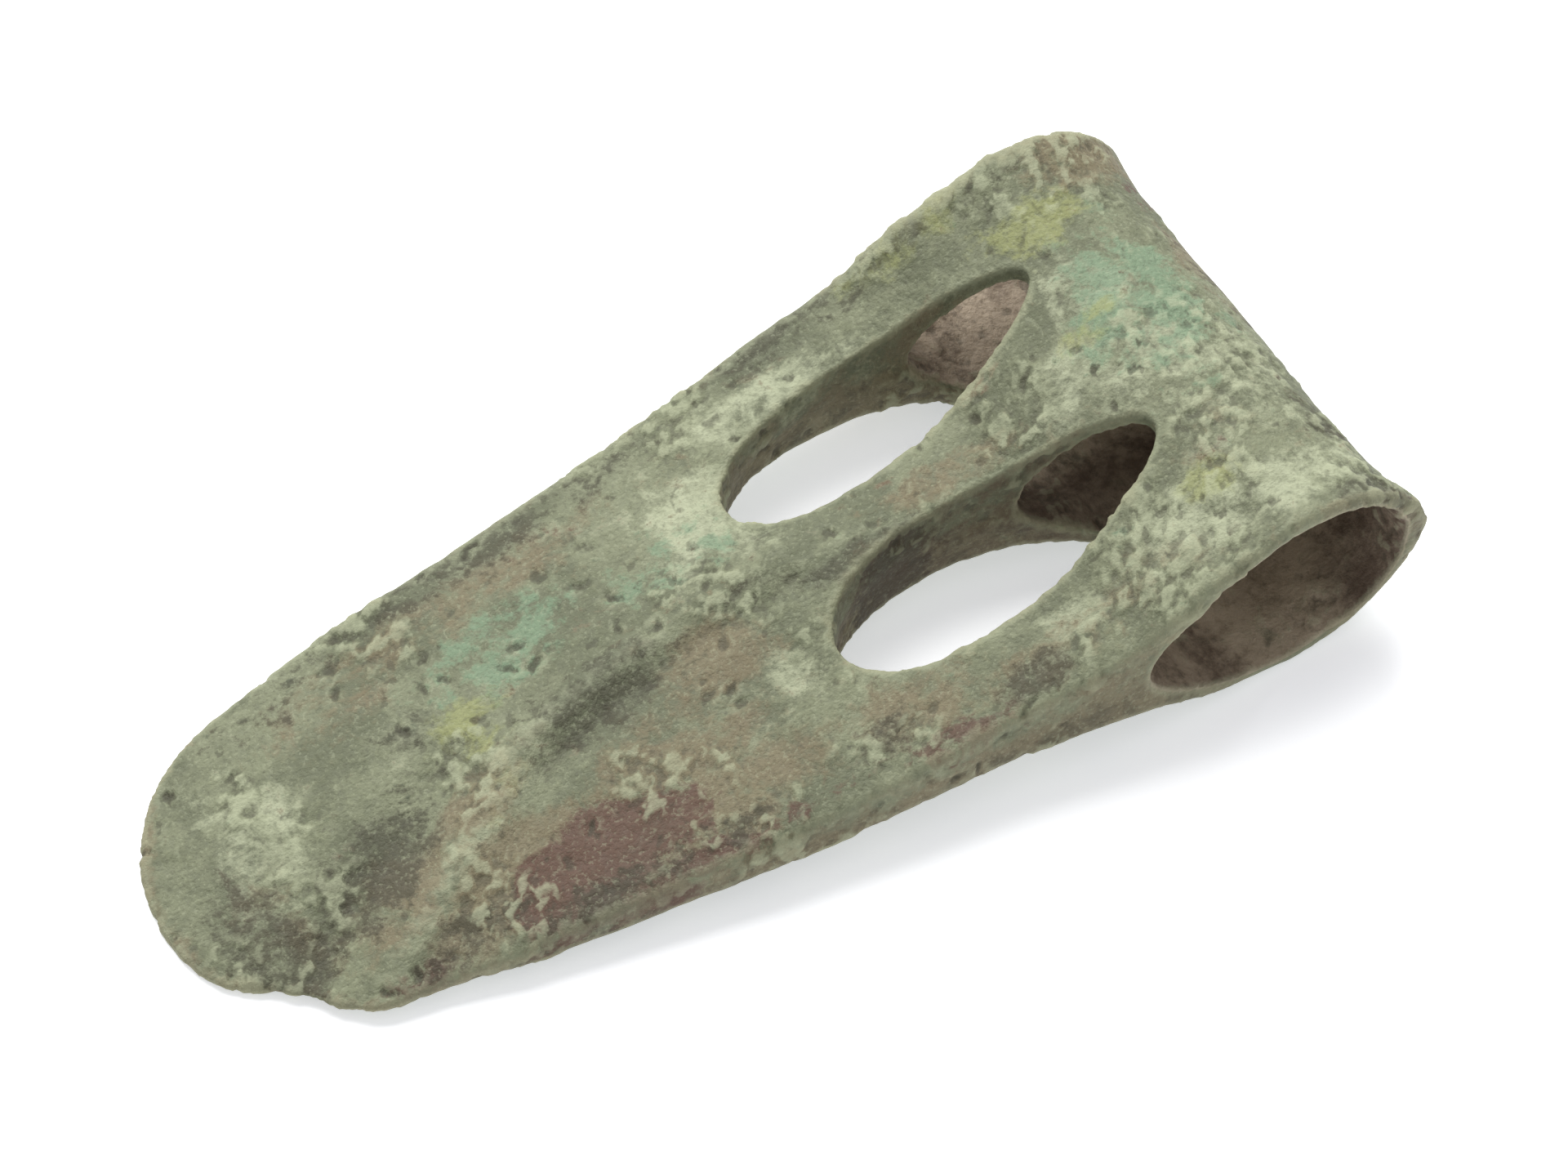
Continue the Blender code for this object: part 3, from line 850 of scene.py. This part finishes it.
def corrosion_tree():
    """Builds the tree that swells, crusts and pits a surface, and returns it with its inputs' identifiers."""
    tree = bpy.data.node_groups.new("corrosion relief", "GeometryNodeTree")
    numbers = dict.fromkeys(RELIEF_INPUTS, "NodeSocketFloat")
    inputs = add_inputs(tree, {**numbers, "Material": "NodeSocketMaterial"})
    graph = Graph(tree)
    given = graph.add("NodeGroupInput").outputs
    value = {name: graph.signal(given[name]) for name in RELIEF_INPUTS}
    size, spacing, seed = value["Crust Size"], value["Pit Size"], value["Seed"]
    spot = graph.add("GeometryNodeInputPosition").outputs[0]
    drift = graph.add("ShaderNodeCombineXYZ", None, {0: seed, 1: seed * SEED_SIDEWAYS, 2: 0.0})
    place = graph.moved(spot, drift.outputs[0])

    swell = graph.cloud(place, 1.0 / value["Swell Size"], 2.0, 0.5)
    regions = graph.cloud(graph.moved(place, (0.3, 0.1, 0.7)), CRUST_REGIONS / size, 3.0)
    lumps = graph.cloud(graph.moved(place, (0.9, 0.4, 0.2)), 1.0 / size, 3.0, 0.55)
    crust = graph.step(regions, *CRUST_REGIONS_GROW) * graph.step(lumps, *LUMPS_GROW)

    pitted = graph.cloud(graph.moved(place, (0.5, 0.8, 0.1)), PIT_REGIONS / spacing, 2.0)
    spread = graph.warped(place, PIT_PUSH_FINENESS / spacing, spacing * PIT_PUSH)
    reach, pick = graph.cells(spread, 1.0 / spacing)
    bowl = 1.0 - graph.step(reach, *PIT_BOWL)
    pit = bowl * graph.step(pick, *PITS_CHOSEN) * graph.step(pitted, *PIT_REGIONS_GROW)

    grain = graph.cloud(graph.moved(place, (0.2, 0.6, 0.9)), GRAIN_FINENESS / size, 3.0, 0.6)
    rise = (
        (swell - 0.5) * 2.0 * value["Swell Height"]
        + crust * value["Crust Height"]
        - pit * value["Pit Depth"]
        + (grain - 0.5) * 2.0 * value["Grain Height"]
        - value["Crust Height"] * CRUST_SINK)

    shape = given["Geometry"]
    normal = graph.add("GeometryNodeInputNormal").outputs["Normal"]
    # The shelter is kept for the brown soil and painted shade of sheltered places
    shape = stored(graph, shape, {SHELTER_SHADE: shelter(graph, shape, normal), CRUST: crust, PIT: pit})
    raised = graph.add(
        "GeometryNodeSetPosition", None, {"Geometry": shape, "Offset": graph.scaled(normal, rise)})

    # Nothing reaches below the floor
    parts = graph.add("ShaderNodeSeparateXYZ", None, {0: graph.add("GeometryNodeInputPosition").outputs[0]})
    floored = graph.add(
        "ShaderNodeCombineXYZ", None,
        {0: parts.outputs[0], 1: parts.outputs[1], 2: graph.signal(parts.outputs[2]).at_least(0.0)})
    rested = graph.add(
        "GeometryNodeSetPosition", None, {"Geometry": raised.outputs[0], "Position": floored.outputs[0]})

    # How far each place stands out: for the rubbed edges, and for the painted highlight on lumps and painted
    # shade in hollows
    curved = stored(graph, rested.outputs[0], {
        EDGE: standing_out(graph, spot, normal, EDGE_PASSES, EDGE_RISE),
        LUMP_LIGHT_AND_SHADE: standing_out(graph, spot, normal, LUMP_PASSES, LUMP_RISE)})
    rounded = graph.add("GeometryNodeSetShadeSmooth", None, {"Geometry": curved, "Shade Smooth": True})
    real = graph.add("GeometryNodeRealizeInstances", None, {"Geometry": rounded.outputs[0]})
    dressed = graph.add(
        "GeometryNodeSetMaterial", None, {"Geometry": real.outputs[0], "Material": given["Material"]})
    graph.add("NodeGroupOutput", None, {"Geometry": dressed.outputs[0]})
    return tree, inputs


def corrode(casting, relief, material):
    """Swells, crusts and pits the casting's surface."""
    tree, inputs = corrosion_tree()
    modifier = casting.modifiers.new("corrosion", "NODES")
    modifier.node_group = tree
    for name, setting in RELIEF_INPUTS.items():
        modifier[inputs[name]] = float(getattr(relief, setting))
    modifier[inputs["Material"]] = material
    settle(casting)


def frayed(noise, fine, fray):
    """A swing about 0 that makes the edges of stains ragged."""
    return (noise - 0.5) * STAIN_SWING + (fine - 0.5) * fray


def patina(tints):
    """The material: mottled green over brown, with pale, red and dark patches, pits and crust, and painted
    shade and highlights.
    """
    material = bpy.data.materials.new("patinated bronze")
    material.use_nodes = True
    material.node_tree.nodes.clear()
    graph = Graph(material.node_tree)
    place = graph.add("ShaderNodeTexCoord").outputs["Object"]

    broad, middle, other, third, fine, speck = (
        graph.cloud(
            graph.moved(place, noise.shift), noise.scale, noise.detail, noise.roughness, noise.distortion)
        for noise in (BROAD_NOISE, MIDDLE_NOISE, OTHER_NOISE, THIRD_NOISE, FINE_NOISE, SPECK_NOISE))
    ragged = frayed(middle, fine, STAIN_FRAY)
    torn = frayed(other, fine, TORN_FRAY)
    strewn = frayed(third, fine, STAIN_FRAY)
    thin_soil = graph.attribute(SOIL) * THIN_SOIL

    greener = graph.step(broad + ragged * 0.3, 0.36, 0.64)
    colour = graph.tint(greener, opaque(tints.deep_green), opaque(tints.green))
    layers = (
        Layer(torn + (broad - 0.5) * 1.2, 0.25, 0.9, 0.65, tints.pale),
        Layer(strewn - (broad - 0.5) * 0.8, 0.3, 0.85, 0.6, tints.earth),
        Layer(ragged - (third - 0.5) * 1.5, 0.55, 1.0, 0.5, tints.verdigris),
        Layer(graph.attribute(PALE) + torn, 0.35, 1.1, 0.8, tints.pale),
        Layer(graph.attribute(VERDIGRIS) + ragged, 0.4, 0.9, 0.7, tints.verdigris),
        Layer(graph.attribute(OLIVE) + torn, 0.4, 0.95, 0.7, tints.olive),
        Layer(graph.attribute(EARTH) + strewn, 0.3, 1.0, 0.8, tints.earth),
        # Painted shade: the steep sides, the cutting edge and the tip of the near mouth's rim in brown, where
        # shade falls
        Layer(graph.attribute(SIDE_SHADE) + strewn * 0.8, 0.2, 0.9, 0.8, tints.earth),
        Layer(graph.attribute(CUPRITE) + torn * 1.5, 0.5, 1.1, 0.8, tints.cuprite),
        Layer(graph.attribute(DARK) + ragged * 0.8 + strewn * 1.1, 0.5, 1.2, 0.75, tints.dark),
        # More painted shade on the steep sides, in dark
        Layer(graph.attribute(SIDE_SHADE) * 0.6 + ragged, 0.35, 1.1, 0.6, tints.dark),
        Layer(graph.attribute(CRUST) + (fine - 0.5), 0.5, 1.0, 0.35, tints.pale),
        Layer(graph.attribute(PIT) + (fine - 0.5) * 0.8, 0.3, 1.0, 0.7, tints.dark),
        Layer(speck, 0.56, 0.68, 0.25, tints.dark),
        Layer(speck, 0.44, 0.32, 0.2, tints.pale),
        # Brown soil and painted shade in sheltered places: the window walls and the socket
        Layer(graph.attribute(SHELTER_SHADE) + strewn * 0.15, 0.25, 0.75, 0.8, tints.wall),
        Layer(graph.attribute(SOIL) + ragged * 0.25, 0.1, 0.9, 0.9, tints.soil),
        Layer(thin_soil + torn, 0.75, 1.3, 0.45, tints.green),
        Layer(thin_soil + strewn, 0.6, 1.3, 0.6, tints.wall),
        Layer(thin_soil + ragged, 0.8, 1.4, 0.5, tints.dark),
        # Painted shade: dark brown in parts of the socket and on the middle bar's side
        Layer(graph.attribute(SHADE_IN_SOCKET) + strewn * 0.5, 0.2, 1.1, 0.85, tints.painted_shade),
        Layer(graph.attribute(EDGE) * 0.7 + torn * 1.1, 0.6, 1.6, 0.32, tints.worn),
        # Painted highlight on lumps, and painted shade in the hollows between them
        Layer(graph.attribute(LUMP_LIGHT_AND_SHADE) + (speck - 0.5) * 0.8, 0.3, 1.6, 0.25, tints.pale),
        Layer(0.0 - graph.attribute(LUMP_LIGHT_AND_SHADE) + (speck - 0.5) * 0.8, 0.3, 1.6, 0.45, tints.dark),
    )
    for layer in layers:
        share = graph.step(layer.mask, layer.start, layer.full) * layer.strength
        colour = graph.tint(share, colour, opaque(layer.colour))

    roughness = ROUGHNESS + (fine - 0.5) * ROUGHNESS_SWING + graph.attribute(CRUST) * CRUST_ROUGHNESS
    height = fine * 0.7 + speck * 0.45 + middle * 0.6
    bump = graph.add(
        "ShaderNodeBump", None, {"Strength": BUMP_STRENGTH, "Distance": BUMP_DEPTH, "Height": height})
    shader = graph.add(
        "ShaderNodeBsdfPrincipled", None,
        {"Base Color": colour, "Roughness": roughness.at_most(ROUGHNESS_MOST), "Metallic": 0.0,
         "Specular IOR Level": SHINE, "Normal": bump.outputs[0]})
    graph.add("ShaderNodeOutputMaterial", None, {"Surface": shader.outputs[0]})
    return material


def make_casting(scene):
    """Makes the casting in the place of the CAD node."""
    casting = merged_copy()
    remesh(casting, scene.axe_casting)
    carve_strokes(casting.data)
    wander(casting.data)
    run, across, height = own_axes(vertex_rows(casting.data, "co"))
    normals = vertex_rows(casting.data, "normal")
    paint_patches(casting.data, run, across, normals[:, 2])
    paint_soil_and_shade(casting.data, run, across, height, normals)
    paint_side_shade(casting.data, run, across, height, normals[:, 2])
    corrode(casting, scene.axe_corrosion, patina(scene.axe_patina))
    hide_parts(NODE)
    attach(casting, BODY)
    return casting


def plain_material(name, colour, glow_colour, glow):
    """A matt material that may give off a little light."""
    material = bpy.data.materials.new(name)
    material.use_nodes = True
    material.node_tree.nodes.clear()
    graph = Graph(material.node_tree)
    shader = graph.add(
        "ShaderNodeBsdfPrincipled", None,
        {"Base Color": colour, "Roughness": FLOOR_ROUGHNESS, "Specular IOR Level": 0.0,
         "Emission Color": glow_colour, "Emission Strength": glow})
    graph.add("ShaderNodeOutputMaterial", None, {"Surface": shader.outputs[0]})
    return material


def make_floor(stage):
    """A large white floor under the head."""
    half = stage.floor_size / 2
    mesh = bpy.data.meshes.new("floor")
    corners = [(-half, -half, 0), (half, -half, 0), (half, half, 0), (-half, half, 0)]
    mesh.from_pydata(corners, [], [(0, 1, 2, 3)])
    mesh.materials.append(plain_material("white floor", FLOOR_COLOUR, FLOOR_GLOW_COLOUR, stage.floor_glow))
    floor = bpy.data.objects.new("floor", mesh)
    bpy.context.scene.collection.objects.link(floor)


def view_axes(azimuth, elevation):
    """Right, up and back of a camera that stands at an azimuth and looks down by an elevation."""
    level = math.cos(elevation)
    back = Vector((math.sin(azimuth) * level, -math.cos(azimuth) * level, math.sin(elevation)))
    right = Vector((math.cos(azimuth), math.sin(azimuth), 0.0))
    return right, back.cross(right), back


def turned(right, up, back, place):
    """A matrix for a camera or a light from its axes and its place."""
    matrix = Matrix((right, up, back)).transposed().to_4x4()
    matrix.translation = place
    return matrix


def make_camera(stage):
    """The camera of the photograph."""
    right, up, back = view_axes(stage.azimuth, stage.elevation)
    data = bpy.data.cameras.new("camera")
    data.sensor_width = SENSOR_WIDTH
    data.lens = stage.lens
    data.clip_start = NEAREST_SEEN
    camera = bpy.data.objects.new("camera", data)
    camera.matrix_world = turned(right, up, back, Vector(LOOK_AT) + back * stage.distance)
    bpy.context.scene.collection.objects.link(camera)
    bpy.context.scene.camera = camera


def make_light(name, azimuth, elevation, distance, power, size):
    """A square soft light that looks at the head from an azimuth and an elevation."""
    right, up, back = view_axes(math.radians(azimuth), math.radians(elevation))
    data = bpy.data.lights.new(name, "AREA")
    data.shape = "SQUARE"
    data.size = size
    data.energy = power
    light = bpy.data.objects.new(name, data)
    light.matrix_world = turned(right, up, back, back * distance)
    bpy.context.scene.collection.objects.link(light)


def make_sky(strength):
    """Even white light from all round."""
    world = bpy.data.worlds.new("sky")
    world.use_nodes = True
    world.node_tree.nodes.clear()
    graph = Graph(world.node_tree)
    sky = graph.add("ShaderNodeBackground", None, {"Color": WHITE, "Strength": strength})
    graph.add("ShaderNodeOutputWorld", None, {"Surface": sky.outputs[0]})
    bpy.context.scene.world = world


def make_stage(scene):
    """The floor, the light and the camera."""
    stage = scene.axe_stage
    make_floor(stage)
    make_sky(stage.sky)
    make_light("key", KEY_AZIMUTH, KEY_ELEVATION, KEY_DISTANCE, stage.key_power, stage.key_size)
    make_camera(stage)
    scene.view_settings.view_transform = "Standard"
    scene.view_settings.look = "None"


class AXE_OT_casting(bpy.types.Operator):
    """Make the corroded bronze casting in place of the plain solid"""

    bl_idname = "axe.casting"
    bl_label = "Make the casting"

    def execute(self, context):
        make_casting(context.scene)
        return {"FINISHED"}


class AXE_OT_stage(bpy.types.Operator):
    """Make the floor, the light and the camera"""

    bl_idname = "axe.stage"
    bl_label = "Set the stage"

    def execute(self, context):
        make_stage(context.scene)
        return {"FINISHED"}


class AXE_PT_sidebar(bpy.types.Panel):
    """Lists the settings and the steps"""

    bl_idname = "AXE_PT_sidebar"
    bl_label = "Duck bill axe head"
    bl_space_type = "VIEW_3D"
    bl_region_type = "UI"
    bl_category = "Axe head"

    def draw(self, context):
        scene = context.scene
        steps = (
            (AXE_OT_casting, (scene.axe_casting, scene.axe_corrosion, scene.axe_patina)),
            (AXE_OT_stage, (scene.axe_stage,)),
        )
        for operator, groups in steps:
            box = self.layout.box()
            box.operator(operator.bl_idname)
            for group in groups:
                for name in group.bl_rna.properties.keys():
                    if name not in ("rna_type", "name"):
                        box.prop(group, name)


GROUPS = {
    "axe_casting": CastingSettings,
    "axe_corrosion": CorrosionSettings,
    "axe_patina": PatinaSettings,
    "axe_stage": StageSettings,
}
CLASSES = (*GROUPS.values(), AXE_OT_casting, AXE_OT_stage, AXE_PT_sidebar)


def register():
    """Adds the settings, the steps and the panel to Blender."""
    for cls in CLASSES:
        bpy.utils.register_class(cls)
    for name, group in GROUPS.items():
        setattr(bpy.types.Scene, name, PointerProperty(type=group))


def unregister():
    """Takes them away again."""
    for name in GROUPS:
        delattr(bpy.types.Scene, name)
    for cls in reversed(CLASSES):
        bpy.utils.unregister_class(cls)


def main():
    register()
    bpy.ops.axe.casting()
    bpy.ops.axe.stage()


if __name__ == "__main__":
    main()
